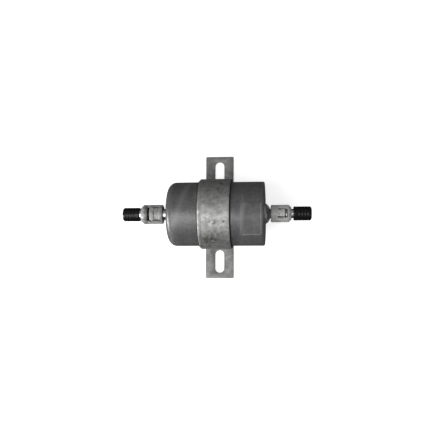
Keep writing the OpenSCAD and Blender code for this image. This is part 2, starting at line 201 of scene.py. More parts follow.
def plate():
    """Flat plate with a round-ended slot in each ear; its sheared edges are slightly rolled over."""
    x0, x1 = span("mounting_plate", X)
    y0, y1 = span("mounting_plate", Y)
    z0, z1 = span("mounting_plate", Z)
    corner, slot_w, slot_len, slot_y = 0.8 * MM, 8.2 * MM, 20.2 * MM, 40 * MM
    piece = fresh("plate", bpy.ops.mesh.primitive_cube_add, size=1, location=(0, 0, (z0 + z1) / 2))
    bpy.ops.transform.resize(value=(x1 - x0, y1 - y0, z1 - z0))
    pick(piece, "EDGE", lambda co, edge: abs(abs(co.x) - x1) < TINY and abs(abs(co.y) - y1) < TINY)
    bpy.ops.mesh.bevel(offset=corner, segments=4, affect="EDGES")
    bpy.ops.object.mode_set(mode="OBJECT")
    for side in (-1, 1):
        punch = fresh("punch", bpy.ops.mesh.primitive_cylinder_add, vertices=48, radius=slot_w / 2,
                      depth=6 * (z1 - z0), location=(0, side * slot_y, z1))
        for end in (-1, 1):
            pick(punch, "VERT", lambda co: end * (co.y - side * slot_y) > 0.1 * MM)
            bpy.ops.transform.translate(value=(0, end * (slot_len - slot_w) / 2, 0))
        bpy.ops.object.mode_set(mode="OBJECT")
        bpy.context.view_layer.objects.active = piece
        modify(piece, "BOOLEAN", object=punch, operation="DIFFERENCE", solver="EXACT")
        bpy.data.objects.remove(punch)
    bpy.ops.object.select_all(action="DESELECT")
    piece.select_set(True)
    soften(piece, 0.28 * MM, segments=3)
    return done(piece, smooth=40)


def band():
    """Strip bent round the liner, its -X edge rolled, its two ends folded flat onto the plate."""
    x0, x1 = span("clamp_band", X)
    strip, foot_half, gap_half = 1.5 * MM, 6 * MM, 1 * MM
    outer = math.hypot(AXIS_Z - PLATE_TOP, foot_half)
    inner = outer - strip
    groove, groove_at, groove_half = 0.16 * MM, 3.3 * MM, 0.9 * MM
    bump_turn, bump_height = math.radians(18), 0.5 * MM
    foot_turn = math.degrees(math.asin(foot_half / outer))
    across = [
        (x0, inner, 0.3 * MM), (x0, outer - 0.25 * MM, 1.0 * MM), (x0 + groove_at - groove_half, outer),
        (x0 + groove_at, outer - groove, 0.3 * MM), (x0 + groove_at + groove_half, outer),
    ]
    across += [(x0 + (x1 - x0) * k / 12, outer) for k in range(3, 12)]
    across += [(x1, outer, 0.12 * MM), (x1, inner, 0.12 * MM)]
    across += [(x0 + (x1 - x0) * k / 12, inner) for k in range(11, 0, -1)]
    piece = turned("band", across, steps=168, start=foot_turn - 180, sweep=360 - 2 * foot_turn)
    for side in (-1, 1):
        pick(piece, "FACE",
             lambda co, face: near_turn(co, 180 - side * foot_turn) and len(face.verts) > 8)
        bpy.ops.mesh.extrude_region_move()
        bpy.ops.transform.resize(value=(1, 0, 1), center_override=(0, side * gap_half, 0))
    middle = (x0 + x1) / 2
    outward = Vector((0, -math.sin(bump_turn), math.cos(bump_turn)))
    bump = Vector((middle, 0, AXIS_Z)) + outward * outer
    pick(piece, "FACE",
         lambda co, face: (co - bump).length < 4.6 * MM and off_axis(co) > outer - 0.5 * MM)
    bpy.ops.mesh.subdivide(number_cuts=5)
    pick(piece, "VERT", lambda co: (co - bump).length < 0.45 * MM and off_axis(co) > outer - 0.5 * MM)
    bpy.ops.transform.translate(value=outward * bump_height, use_proportional_edit=True,
                                proportional_edit_falloff="SMOOTH", proportional_size=2.3 * MM)
    done(piece)
    uneven(piece, depth=0.14 * MM, size=9 * MM)
    return piece


def uneven(piece, depth, size):
    """Gives a bent sheet the slight waviness of hand work."""
    waves = bpy.data.textures.new("waves", "CLOUDS")
    waves.noise_scale = size
    waves.noise_depth = 1
    modify(piece, "DISPLACE", texture=waves, texture_coords="LOCAL", strength=depth, mid_level=0.5)


def liner():
    """Rubber strip between band and canister, bulging a little past the band's edges."""
    x0, x1 = span("band_liner", X)
    open_half, gap, lip = 8 * MM, 0.02 * MM, 0.16 * MM
    open_turn = math.degrees(math.asin(open_half / (CAN_R + LINER)))
    inner, outer = CAN_R + gap, CAN_R + LINER - gap
    across = [
        (x0, inner, 0.2 * MM), (x0, outer + lip, 0.3 * MM), (x0 + 1.0 * MM, outer),
        (x1 - 1.0 * MM, outer), (x1, outer + lip, 0.3 * MM), (x1, inner, 0.2 * MM),
    ]
    return done(turned("liner", across, steps=120, start=open_turn - 180, sweep=360 - 2 * open_turn))


# ---------------------------------------------------------------- canister

def canister():
    """Deep-drawn canister: shallow crown, round knuckle, straight wall and rolled rim."""
    edge_x, rim_x = span("can_shell", X)
    crown_r, knuckle_r, rim_r, lip_r, hole_r = 105 * MM, 7 * MM, 1.3 * MM, 23.8 * MM, 5.35 * MM
    crown_x = edge_x + math.sqrt(crown_r ** 2 - hole_r ** 2)
    knuckle_at = CAN_R - knuckle_r
    knuckle_x = crown_x - math.sqrt((crown_r - knuckle_r) ** 2 - knuckle_at ** 2)
    meet = math.degrees(math.asin(knuckle_at / (crown_r - knuckle_r)))

    def skin(inset, end_x, rings):
        """The crown, the knuckle and the wall, this far inside the outer face."""
        hole = math.degrees(math.asin(hole_r / (crown_r - inset)))
        line = arc(crown_x, 0, crown_r - inset, 180 - hole, 180 - meet, 9)
        line += arc(knuckle_x, knuckle_at, knuckle_r - inset, 180 - meet, 90, 14)[1:]
        step = (end_x - knuckle_x) / rings
        return line + [(knuckle_x + step * k, CAN_R - inset) for k in range(1, rings + 1)]

    outside = skin(0, rim_x - rim_r, 30)
    rim = arc(rim_x - rim_r, CAN_R - rim_r, rim_r, 90, 0, 7)[1:]
    lip = [(rim_x, lip_r, 0.25 * MM), (rim_x - SHEET, lip_r, 0.25 * MM)]
    inside = skin(SHEET, rim_x - SHEET, 4)[::-1]
    piece = turned("canister", outside + rim + lip + inside, steps=144)
    bpy.ops.mesh.select_all(action="SELECT")
    bpy.ops.mesh.remove_doubles(threshold=SEAM)
    dents = (-31, -38, 0.16, 7), (30, -78, 0.14, 6), (-24, 62, 0.18, 8), (22, 100, 0.15, 7)
    for dent_x, turn, depth, size in dents:
        side = math.radians(turn)
        out = Vector((0, math.sin(side), math.cos(side)))
        place = Vector((dent_x * MM, 0, AXIS_Z)) + out * CAN_R
        pick(piece, "VERT", lambda co: (co - place).length < 1.6 * MM)
        bpy.ops.transform.translate(value=-out * depth * MM, use_proportional_edit=True,
                                    proportional_edit_falloff="SMOOTH", proportional_size=size * MM)
    return done(piece)


def blank_label():
    """Film label with rounded corners, wrapped part of the way round the wall."""
    x0, x1 = span("data_label", X)
    film = 0.1 * MM
    line = [(x0 + (x1 - x0) * k / 8, CAN_R) for k in range(9)]
    piece = turned("blank_label", line, steps=30, closed=False, start=LABEL_FROM,
                   sweep=LABEL_TO - LABEL_FROM)
    pick(piece, "VERT", lambda co: min(co.x - x0, x1 - co.x) < TINY
         and (near_turn(co, LABEL_FROM) or near_turn(co, LABEL_TO)))
    bpy.ops.mesh.bevel(offset=1.6 * MM, segments=5, affect="VERTICES")
    done(piece)
    modify(piece, "SOLIDIFY", thickness=film, offset=outward_side(piece))
    return done(piece)


def outward_side(piece):
    """1 where a sheet's normals already point away from the axis, and -1 where they point at it."""
    face = piece.data.polygons[0]
    away = face.center - Vector((face.center.x, 0, AXIS_Z))
    return 1 if face.normal.dot(away) > 0 else -1


def end_cover():
    """Pressed cover under the rolled rim, with a shallow ring pressed into its face."""
    x1 = span("end_cover", X)[1]
    thick, drop, hole_r, panel_r = 1.2 * MM, 0.7 * MM, OUTLET_TUBE_R, 21.8 * MM
    skirt_r, skirt_x, seat = CAN_R - SHEET, span("end_cover", X)[0], 1.2 * MM
    flange_x = x1 - drop
    ring_r, ring_w, ring_drop = 15 * MM, 1.6 * MM, 0.5 * MM
    face = [
        (x1, hole_r), (x1, ring_r - ring_w, 0.5 * MM), (x1 - ring_drop, ring_r - 0.6 * MM, 0.5 * MM),
        (x1 - ring_drop, ring_r + 0.6 * MM, 0.5 * MM), (x1, ring_r + ring_w, 0.5 * MM),
        (x1, panel_r, 0.45 * MM), (flange_x, panel_r + 0.5 * MM, 0.25 * MM),
        (flange_x, skirt_r - seat, 0.2 * MM), (flange_x - seat, skirt_r - seat),
        (flange_x - seat, skirt_r), (skirt_x, skirt_r, 0.3 * MM), (skirt_x, skirt_r - thick, 0.3 * MM),
        (flange_x - thick, skirt_r - thick - 0.3 * MM), (flange_x - thick, panel_r),
        (x1 - thick, panel_r - thick), (x1 - thick, hole_r),
    ]
    return done(turned("pressed_cover", face, steps=96))


def boss():
    """Domed boss brazed round the outlet tube, with a proud ring of braze at its foot."""
    x0, x1 = span("outlet_boss", X)
    foot_r, neck_r, hole_r = radius_of("outlet_boss"), 5.2 * MM, OUTLET_TUBE_R
    dome_r, foot_h = 10.5 * MM, 0.8 * MM
    dome_x = x0 + foot_h - math.sqrt(dome_r ** 2 - foot_r ** 2)
    top = x1 - 0.7 * MM - dome_x
    edge = math.degrees(math.asin(foot_r / dome_r))
    crest = math.degrees(math.acos(top / dome_r))
    line = [(x0, hole_r), (x0, foot_r + 0.5 * MM, 0.3 * MM),
            (x0 + 0.5 * MM, foot_r + 0.1 * MM, 0.2 * MM)]
    line += arc(dome_x, 0, dome_r, edge, crest, 12)
    line += [(x1 - 0.6 * MM, neck_r, 0.25 * MM), (x1, neck_r, 0.3 * MM), (x1, hole_r)]
    piece = turned("brazed_boss", line, steps=72)
    done(piece)
    uneven(piece, depth=0.22 * MM, size=3.2 * MM)
    return piece


def collar():
    """Flanged collar in the dome, with a smooth fillet of braze where it meets the crown."""
    x0, x1 = span("inlet_collar", X)
    crown_x = span("can_shell", X)[0]
    hole_r, shoulder_r, inner_r, flange_r = INLET_TUBE_R, 5.6 * MM, 5.33 * MM, radius_of("inlet_collar")
    fillet, flange = 0.45 * MM, 1 * MM
    line = [(x0, hole_r, 0.15 * MM), (x0, shoulder_r, 0.35 * MM)]
    line += arc(crown_x - fillet, shoulder_r + fillet, fillet, 270, 350, 7)
    line += [(crown_x + 0.05 * MM, inner_r), (x1 - flange, inner_r), (x1 - flange, flange_r, 0.2 * MM),
             (x1, flange_r, 0.2 * MM), (x1, hole_r)]
    return done(turned("dome_collar", line, steps=72))


def pipe(name, node, outer_r, bead_x):
    """Drawn tube with an upset bead and a rounded open end."""
    x0, x1 = span(node, X)
    away = 1 if x1 > -x0 else -1
    tip, root = (x1, x0) if away > 0 else (x0, x1)
    bead_r, bead_half, inner_r = radius_of(node), 0.6 * MM, outer_r - TUBE_SHEET
    side = away * bead_half
    line = [
        (root, inner_r), (root, outer_r), (bead_x - side - away * 0.05 * MM, outer_r),
        (bead_x - side, bead_r - 0.1 * MM, 0.55 * MM), (bead_x + side, bead_r - 0.1 * MM, 0.55 * MM),
        (bead_x + side + away * 0.05 * MM, outer_r),
        (tip - away * 2.2 * MM, outer_r, 0.4 * MM), (tip, outer_r - 0.35 * MM, 0.25 * MM),
        (tip, inner_r, 0.2 * MM),
    ]
    return done(turned(name, line, steps=72))


# ---------------------------------------------------------------- quick-connect ends

def ring_groove(at, wall_r, half, depth):
    """Outline of a narrow groove round a sleeve."""
    return [(at - half, wall_r, 0.1 * MM), (at, wall_r - depth, 0.12 * MM),
            (at + half, wall_r, 0.1 * MM)]


def retainer(name, node, finger_node, side, bore_r, window_extra, groove_at):
    """Moulded sleeve with a window in its front and its back, a rolled base rim and a tapered nose."""
    low, high = span(node, X)
    base, nose = (high, low) if side < 0 else (low, high)
    finger_low, finger_high = span(finger_node, X)
    root, tip = (finger_high, finger_low) if side < 0 else (finger_low, finger_high)
    wall_r, wall, length = radius_of(node), 1.2 * MM, abs(nose - base)
    window_end = abs(tip - base) + window_extra
    window_start = abs(root - base)
    half_turn = math.degrees(math.asin((span(finger_node, Y)[1] + 0.85 * MM) / wall_r))
    outside = [(0, bore_r, 0.2 * MM), (0, wall_r - 0.1 * MM, 0.75 * MM), (window_start, wall_r)]
    outside += ring_groove(groove_at, wall_r, 0.35 * MM, 0.3 * MM)
    outside.sort(key=lambda corner: corner[0])
    outside += [
        (window_end, wall_r), (length - 2.6 * MM, wall_r, 0.3 * MM),
        (length - 1.7 * MM, wall_r - 0.5 * MM, 0.4 * MM),
        (length, bore_r + 1.1 * MM, 0.35 * MM), (length, bore_r, 0.2 * MM),
    ]
    inside = [(window_end, bore_r), (window_end, wall_r - wall), (window_start, wall_r - wall),
              (window_start, bore_r)]
    line = [(base + side * corner[0], *corner[1:]) for corner in outside + inside]
    piece = turned(name, line, steps=96)
    cut_from, cut_to = sorted((base + side * window_start, base + side * window_end))

    def in_window(place, face):
        turn = abs(turn_of(place))
        facing = min(turn, 180 - turn) < half_turn
        return facing and cut_from < place.x < cut_to and abs(face.normal.x) < 0.5

    pick(piece, "FACE", in_window)
    bpy.ops.mesh.delete(type="FACE")
    for face_side in (-1, 1):
        pick(piece, "EDGE", lambda co, edge: edge.is_boundary and face_side * (co.z - AXIS_Z) > 0)
        bpy.ops.mesh.bridge_edge_loops()
    done(piece)
    soften(piece, 0.14 * MM)
    return done(piece, smooth=50)


def finger(name, node, side):
    """Locking finger: root pad, thin middle, and a barbed thumb pad at its free end."""
    low, high = span(node, X)
    base, tip = (high, low) if side < 0 else (low, high)
    length = abs(tip - base)
    z_low, z_high = span(node, Z)
    top = z_high > AXIS_Z + 1 * MM
    crest = max(abs(z_high - AXIS_Z), abs(z_low - AXIS_Z))
    wall_r = crest - 0.35 * MM
    inner_r = wall_r - 1.85 * MM
    half_turn = math.degrees(math.asin(span(node, Y)[1] / crest))
    pad = length * 0.36
    along = [
        (0, inner_r), (0, wall_r, 0.2 * MM), (length * 0.16, wall_r, 0.2 * MM),
        (length * 0.16 + 0.35 * MM, wall_r - 0.4 * MM, 0.2 * MM),
        (length - pad - 0.7 * MM, wall_r - 0.4 * MM, 0.2 * MM),
        (length - pad, crest, 0.35 * MM), (length - 0.7 * MM, crest, 0.4 * MM),
        (length - 0.05 * MM, wall_r - 0.3 * MM, 0.3 * MM), (length - 0.25 * MM, inner_r, 0.3 * MM),
        (length * 0.5, inner_r),
    ]
    line = [(base + side * corner[0], *corner[1:]) for corner in along]
    middle = 0 if top else 180
    piece = turned(name, line, steps=24, start=middle - half_turn, sweep=2 * half_turn)
    done(piece)
    soften(piece, 0.22 * MM, segments=3, limit=50)
    return done(piece, smooth=50)


def push_cap(name, node, bore_r, side):
    """Soft push-on cap; its outline starts and ends on the axis, so the poles close."""
    low, high = span(node, X)
    mouth, end = (high, low) if side < 0 else (low, high)
    length = abs(end - mouth)
    outer_r = radius_of(node)
    outside = [
        (0, bore_r, 0.15 * MM), (0, outer_r - 0.15 * MM, 0.35 * MM), (0.9 * MM, outer_r, 0.3 * MM),
    ]
    for k in range(1, 5):
        at = length * (0.12 + 0.16 * k)
        outside += [(at - 0.5 * MM, outer_r), (at, outer_r - 0.14 * MM, 0.15 * MM),
                    (at + 0.5 * MM, outer_r)]
    outside += [
        (length - 1.5 * MM, outer_r, 0.3 * MM), (length - 0.4 * MM, outer_r - 0.9 * MM, 0.6 * MM),
        (length, outer_r - 2.6 * MM, 0.6 * MM), (length - 0.25 * MM, 0),
    ]
    inside = [(length - 1.5 * MM, 0), (length - 1.5 * MM, bore_r, 0.3 * MM)]
    line = [(mouth + side * corner[0], *corner[1:]) for corner in inside + outside]
    return done(turned(name, line, steps=72, closed=False))


# ---------------------------------------------------------------- node helpers and shared effects

def place_node(tree, kind, sockets=None, **settings):
    """Adds a node, sets its options, and links or sets its inputs by name."""
    made = tree.nodes.new("ShaderNode" + kind)
    for key, value in settings.items():
        setattr(made, key, value)
    for key, value in (sockets or {}).items():
        if isinstance(value, bpy.types.NodeSocket):
            tree.links.new(value, made.inputs[key])
        else:
            made.inputs[key].default_value = value
    return made


def between(tree, factor, low, high):
    """A value that follows a mask from low to high."""
    ranged = place_node(tree, "MapRange", {"Value": factor, "To Min": low, "To Max": high})
    return ranged.outputs["Result"]


def calc(tree, operation, *values):
    """One step of arithmetic."""
    return place_node(tree, "Math", dict(enumerate(values)), operation=operation).outputs[0]


def tint(tree, factor, first, second):
    """A colour that follows a mask from the first colour to the second."""
    sockets = {0: factor}
    for index, colour in ((6, first), (7, second)):
        sockets[index] = (*colour, 1) if isinstance(colour, tuple) else colour
    return place_node(tree, "Mix", sockets, data_type="RGBA").outputs[2]


def over(tree, base, factor, amount, colour):
    """Lays a colour over a base where the mask shows, at most by this amount."""
    return tint(tree, between(tree, factor, 0, amount), base, colour)


def grey(level):
    """A neutral colour."""
    return level, level, level


def stretched(tree, place, scale, turn=(0, 0, 0)):
    """The same place, turned and stretched, for a pattern that runs one way."""
    turn = tuple(math.radians(angle) for angle in turn)
    return place_node(tree, "Mapping", {"Vector": place, "Scale": scale, "Rotation": turn}).outputs[0]


def coordinate(tree, place, axis):
    """One coordinate of a place: X, Y or Z."""
    return place_node(tree, "SeparateXYZ", {"Vector": place}).outputs[axis]


def measured(tree, place, operation, other):
    """The dot product or the distance of a place and another vector."""
    return place_node(tree, "VectorMath", {0: place, 1: other}, operation=operation).outputs["Value"]


def slanted(tree, place, lean):
    """A coordinate along the axis that leans with Y, for painted reflection streaks that cross the wall
    at a slant.
    """
    return measured(tree, place, "DOT_PRODUCT", (1, lean, 0))


def effect(name, outputs, **values):
    """An empty node group that takes a place and these values, and gives these outputs."""
    group = bpy.data.node_groups.new(name, "ShaderNodeTree")
    group.interface.new_socket(name="Place", in_out="INPUT", socket_type="NodeSocketVector")
    for key, value in values.items():
        socket = group.interface.new_socket(name=key, in_out="INPUT", socket_type="NodeSocketFloat")
        socket.default_value = value
    for key in outputs:
        group.interface.new_socket(name=key, in_out="OUTPUT", socket_type="NodeSocketFloat")
    return group, group.nodes.new("NodeGroupInput").outputs, group.nodes.new("NodeGroupOutput").inputs


def use(tree, group, **sockets):
    """Places a shared effect in a material."""
    named = {key.capitalize(): value for key, value in sockets.items()}
    return place_node(tree, "Group", named, node_tree=group).outputs


def mask(tree, group, place, **sockets):
    """The mask of a shared effect at this place."""
    return use(tree, group, place=place, **sockets)["Mask"]


def edge_rub(tree, place, along, edge, width):
    """The mask of a rubbed edge, this wide, where a coordinate reaches one value."""
    return mask(tree, EDGE_RUB, place, along=along, edge=edge, width=width)


def grained(tree, place, size):
    """The height of the fine grain."""
    return use(tree, GRAIN, place=place, size=size)["Height"]


def patches_effect():
    """Soft cloudy patches, as on weathered zinc or rubbed paint."""
    group, given, out = effect("patches", ["Mask"], Size=300, Low=0.35, High=0.65)
    clouds = place_node(group, "TexNoise",
                        {"Vector": given["Place"], "Scale": given["Size"], "Detail": 4,
                         "Roughness": 0.6})
    sharpened = place_node(group, "MapRange",
                           {"Value": clouds.outputs["Fac"], "From Min": given["Low"],
                            "From Max": given["High"]}, interpolation_type="SMOOTHSTEP")
    group.links.new(sharpened.outputs["Result"], out["Mask"])
    return group


def grain_effect():
    """Fine even grain for moulded, sprayed and blasted faces."""
    group, given, out = effect("grain", ["Height", "Mask"], Size=2500)
    fine = place_node(group, "TexNoise",
                      {"Vector": given["Place"], "Scale": given["Size"], "Detail": 2, "Roughness": 0.7})
    pits = place_node(group, "TexVoronoi", {"Vector": given["Place"], "Scale": given["Size"]})
    both = calc(group, "MULTIPLY_ADD", pits.outputs["Distance"], 0.5, fine.outputs["Fac"])
    group.links.new(both, out["Height"])
    group.links.new(fine.outputs["Fac"], out["Mask"])
    return group


def spangle_effect():
    """The crystal pattern of a zinc coating: one tone a crystal, with soft borders."""
    group, given, out = effect("spangle", ["Tone", "Height"], Size=700)
    drift = place_node(group, "TexNoise", {"Vector": given["Place"], "Scale": 900, "Detail": 2})
    moved = place_node(group, "VectorMath",
                       {0: drift.outputs["Color"], 1: (0.0006, 0.0006, 0.0006), 2: given["Place"]},
                       operation="MULTIPLY_ADD")
    cells = place_node(group, "TexVoronoi",
                       {"Vector": moved.outputs[0], "Scale": given["Size"], "Smoothness": 0.3},
                       feature="SMOOTH_F1")
    tone = place_node(group, "SeparateColor", {"Color": cells.outputs["Color"]})
    group.links.new(tone.outputs["Red"], out["Tone"])
    group.links.new(cells.outputs["Distance"], out["Height"])
    return group


def hairline_effect():
    """Thin scratches: the level lines of a stretched noise, thinned out by a second one."""
    group, given, out = effect("hairlines", ["Mask"], Size=30, Width=0.004, Amount=0.5)
    field = place_node(group, "TexNoise",
                       {"Vector": given["Place"], "Scale": given["Size"], "Detail": 1})
    level = calc(group, "COMPARE", field.outputs["Fac"], 0.5, given["Width"])
    coarser = calc(group, "MULTIPLY", given["Size"], 0.6)
    where = place_node(group, "TexNoise", {"Vector": given["Place"], "Scale": coarser, "Detail": 1})
    kept = calc(group, "LESS_THAN", where.outputs["Fac"], given["Amount"])
    group.links.new(calc(group, "MULTIPLY", level, kept), out["Mask"])
    return group


def speck_effect():
    """Scattered specks: pinholes, dust and small stains."""
    group, given, out = effect("specks", ["Mask"], Size=400, Reach=0.25, Amount=0.2)
    cells = place_node(group, "TexVoronoi", {"Vector": given["Place"], "Scale": given["Size"]})
    near = place_node(group, "MapRange",
                      {"Value": cells.outputs["Distance"], "From Min": given["Reach"], "From Max": 0.02},
                      interpolation_type="SMOOTHSTEP")
    lot = place_node(group, "SeparateColor", {"Color": cells.outputs["Color"]})
    chosen = calc(group, "LESS_THAN", lot.outputs["Green"], given["Amount"])
    group.links.new(calc(group, "MULTIPLY", near.outputs["Result"], chosen), out["Mask"])
    return group


def edge_effect():
    """Rubbed edge: a mask that rises close to one value of a coordinate, with a ragged border."""
    group, given, out = effect("edge_rub", ["Mask"], Along=0, Edge=0, Width=0.001)
    ragged = place_node(group, "TexNoise", {"Vector": given["Place"], "Scale": 700, "Detail": 3})
    away = calc(group, "ABSOLUTE", calc(group, "SUBTRACT", given["Along"], given["Edge"]))
    shifted = calc(group, "MULTIPLY", away, between(group, ragged.outputs["Fac"], 0.3, 1.9))
    near = place_node(group, "MapRange", {"Value": shifted, "From Min": given["Width"], "From Max": 0})
    group.links.new(near.outputs["Result"], out["Mask"])
    return group


PATCHES = patches_effect()
GRAIN = grain_effect()
SPANGLE = spangle_effect()
HAIRLINES = hairline_effect()
SPECKS = speck_effect()
EDGE_RUB = edge_effect()


# ---------------------------------------------------------------- finishes

def finish_for(name, **values):
    """A new material: its tree, its shader with these plain values, and the place on the piece."""
    material = bpy.data.materials.new(name)
    material.use_nodes = True
    tree = material.node_tree
    shader = tree.nodes["Principled BSDF"]
    for key, value in values.items():
        shader.inputs[key.replace("_", " ").title()].default_value = value
    place = tree.nodes.new("ShaderNodeTexCoord").outputs["Object"]
    return material, tree, shader, place


def wire(tree, shader, **sockets):
    """Links patterns to the shader's inputs."""
    for key, value in sockets.items():
        tree.links.new(value, shader.inputs[key.replace("_", " ").title()])


def relief(tree, shader, *layers):
    """Stacks layers of (height, depth) as bumps on the shader's normal."""
    normal = None
    for height, depth in layers:
        bump = place_node(tree, "Bump", {"Height": height, "Distance": depth, "Strength": 1})
        if normal is not None:
            tree.links.new(normal, bump.inputs["Normal"])
        normal = bump.outputs["Normal"]
    tree.links.new(normal, shader.inputs["Normal"])


def zinc_plated_band():
    """Dull mottled zinc on the band, with stains, spots, one low blot and a rubbed rolled edge."""
    material, tree, shader, place = finish_for("zinc_plated_band", Metallic=0.9)
    crystals = use(tree, SPANGLE, place=place, size=560)
    clouds = mask(tree, PATCHES, place, size=150, low=0.36, high=0.64)
    smears = mask(tree, PATCHES, stretched(tree, place, (0.5, 1, 1), (0, 0, 25)), size=320, low=0.5,
                  high=0.72)
    stains = mask(tree, PATCHES, place, size=260, low=0.59, high=0.72)
    spots = mask(tree, SPECKS, place, size=210, reach=0.34, amount=0.2)
    rolled = stretched(tree, place, (1, 0.06, 0.06))
    lines = mask(tree, HAIRLINES, rolled, size=900, width=0.03, amount=0.45)
    edge = edge_rub(tree, place, coordinate(tree, place, X), span("clamp_band", X)[0], 1.6 * MM)
    low_spot = (-3.5 * MM, -22 * MM, AXIS_Z + 20 * MM)
    blot = edge_rub(tree, place, measured(tree, place, "DISTANCE", low_spot), 0, 13 * MM)
    blot = calc(tree, "MULTIPLY", blot, mask(tree, PATCHES, place, size=420, low=0.42, high=0.58))
    # painted light: the band is made lighter toward its -X edge, the side nearest the lamps, fading out
    # over 44 mm
    painted_left_light = edge_rub(tree, place, coordinate(tree, place, X), span("clamp_band", X)[0], 44 * MM)
    base = tint(tree, crystals["Tone"], (0.25, 0.25, 0.245), (0.37, 0.37, 0.36))
    base = over(tree, base, painted_left_light, 0.4, (0.45, 0.45, 0.44))
    base = over(tree, base, clouds, 0.6, (0.20, 0.20, 0.196))
    base = over(tree, base, smears, 0.5, (0.47, 0.47, 0.46))
    base = over(tree, base, stains, 0.5, (0.10, 0.098, 0.095))
    base = over(tree, base, blot, 0.9, (0.06, 0.058, 0.055))
    base = over(tree, base, spots, 0.9, grey(0.05))
    base = over(tree, base, edge, 0.25, (0.5, 0.5, 0.49))
    rough = calc(tree, "ADD", between(tree, crystals["Tone"], 0.5, 0.6), between(tree, clouds, 0, 0.1))
    wire(tree, shader, base_color=base, roughness=rough)
    relief(tree, shader, (crystals["Height"], 0.03 * MM), (lines, 0.01 * MM),
           (grained(tree, place, 2600), 0.018 * MM))
    return material


def zinc_plated_plate():
    """Duller zinc on the flat plate, with rolling lines and small dark spots."""
    material, tree, shader, place = finish_for("zinc_plated_plate", Metallic=0.8)
    crystals = use(tree, SPANGLE, place=place, size=480)
    clouds = mask(tree, PATCHES, place, size=170, low=0.32, high=0.7)
    rolled = stretched(tree, place, (1, 0.05, 1))
    lines = mask(tree, HAIRLINES, rolled, size=800, width=0.03, amount=0.5)
    spots = mask(tree, SPECKS, place, size=260, reach=0.25, amount=0.12)
    base = tint(tree, crystals["Tone"], (0.165, 0.165, 0.162), (0.255, 0.255, 0.249))
    base = over(tree, base, clouds, 0.5, (0.125, 0.125, 0.122))
    base = over(tree, base, spots, 0.7, grey(0.05))
    wire(tree, shader, base_color=base,
         roughness=calc(tree, "ADD", between(tree, crystals["Tone"], 0.5, 0.6),
                        between(tree, clouds, 0, 0.1)))
    relief(tree, shader, (crystals["Height"], 0.03 * MM), (lines, 0.012 * MM),
           (grained(tree, place, 2300), 0.02 * MM))
    return material


def painted_streaks_and_mottle(tree, place):
    """The slanted streaks of painted reflection and the fine mottle that the wall and its label share.
    """
    painted_streaks = mask(tree, PATCHES, stretched(tree, place, (1, 0.14, 0.14), (0, 0, 14)), size=150,
                   low=0.52, high=0.74)
    return painted_streaks, mask(tree, PATCHES, place, size=480, low=0.36, high=0.64)


def canister_enamel():
    """Thin dark grey coat over drawn steel: draw lines, slanted streaks of painted reflection, soft
    clouds and dust.
    """
    material, tree, shader, place = finish_for("canister_enamel", Metallic=0.3, Coat_Weight=0.2,
                                               Coat_Roughness=0.22)
    drawn = stretched(tree, place, (0.04, 1, 1))
    lines = mask(tree, HAIRLINES, drawn, size=420, width=0.05, amount=0.55)
    clouds = mask(tree, PATCHES, stretched(tree, place, (1, 0.35, 0.35)), size=110, low=0.3, high=0.7)
    painted_streaks, mottle = painted_streaks_and_mottle(tree, place)
    # painted reflection: a lighter slanted streak across the wall near the dome
    painted_dome_streak = edge_rub(tree, place, slanted(tree, place, -0.31), -29.7 * MM, 4.6 * MM)
    rubbed = mask(tree, PATCHES, place, size=420, low=0.54, high=0.76)
    dust = mask(tree, SPECKS, place, size=520, reach=0.2, amount=0.12)
    scratch = mask(tree, HAIRLINES, stretched(tree, place, (1, 0.06, 0.06), (0, 0, 12)), size=130,
                   width=0.004, amount=0.42)
    rim = edge_rub(tree, place, coordinate(tree, place, X), span("can_shell", X)[1], 1.1 * MM)
    grain = use(tree, GRAIN, place=place, size=1300)
    base = tint(tree, clouds, (0.100, 0.100, 0.103), (0.062, 0.062, 0.065))
    base = over(tree, base, mottle, 0.5, (0.042, 0.042, 0.044))
    base = tint(tree, between(tree, grain["Mask"], -0.3, 0.7), base, (0.135, 0.135, 0.137))
    # painted reflection: the slanted streaks lighten the colour; they also roughen the coat a little
    base = over(tree, base, painted_streaks, 0.4, (0.17, 0.17, 0.173))
    base = over(tree, base, painted_dome_streak, 0.5, (0.18, 0.18, 0.183))
    base = over(tree, base, rubbed, 0.4, (0.15, 0.15, 0.152))
    base = over(tree, base, lines, 0.12, grey(0.04))
    base = over(tree, base, scratch, 0.35, grey(0.24))
    base = over(tree, base, dust, 0.5, (0.30, 0.30, 0.29))
    base = over(tree, base, rim, 0.3, grey(0.2))
    wire(tree, shader, base_color=base,
         roughness=calc(tree, "ADD", between(tree, clouds, 0.38, 0.47), between(tree, painted_streaks, 0, 0.08)))
    relief(tree, shader, (grain["Height"], 0.02 * MM), (lines, 0.006 * MM),
           (mask(tree, PATCHES, place, size=60, low=0, high=1), 0.10 * MM))
    return material


def brazed_steel():
    """Dark heat-marked steel of the boss, with swirled light streaks painted across it as reflections;
    the same streaks give it a faint relief of tool marks.
    """
    material, tree, shader, place = finish_for("brazed_steel", Metallic=0.6)
    swirl = stretched(tree, place, (1, 0.25, 1), (35, 0, 40))
    reflection_streaks = mask(tree, PATCHES, swirl, size=560, low=0.46, high=0.54)
    soot = mask(tree, PATCHES, place, size=420, low=0.35, high=0.65)
    # painted reflection: the swirled streaks set the colour between dark and light steel
    base = tint(tree, reflection_streaks, (0.2, 0.2, 0.204), (0.58, 0.58, 0.585))
    base = over(tree, base, soot, 0.5, (0.11, 0.108, 0.106))
    wire(tree, shader, base_color=base, roughness=between(tree, soot, 0.32, 0.55))
    relief(tree, shader, (reflection_streaks, 0.05 * MM), (grained(tree, place, 1800), 0.02 * MM))
    return material


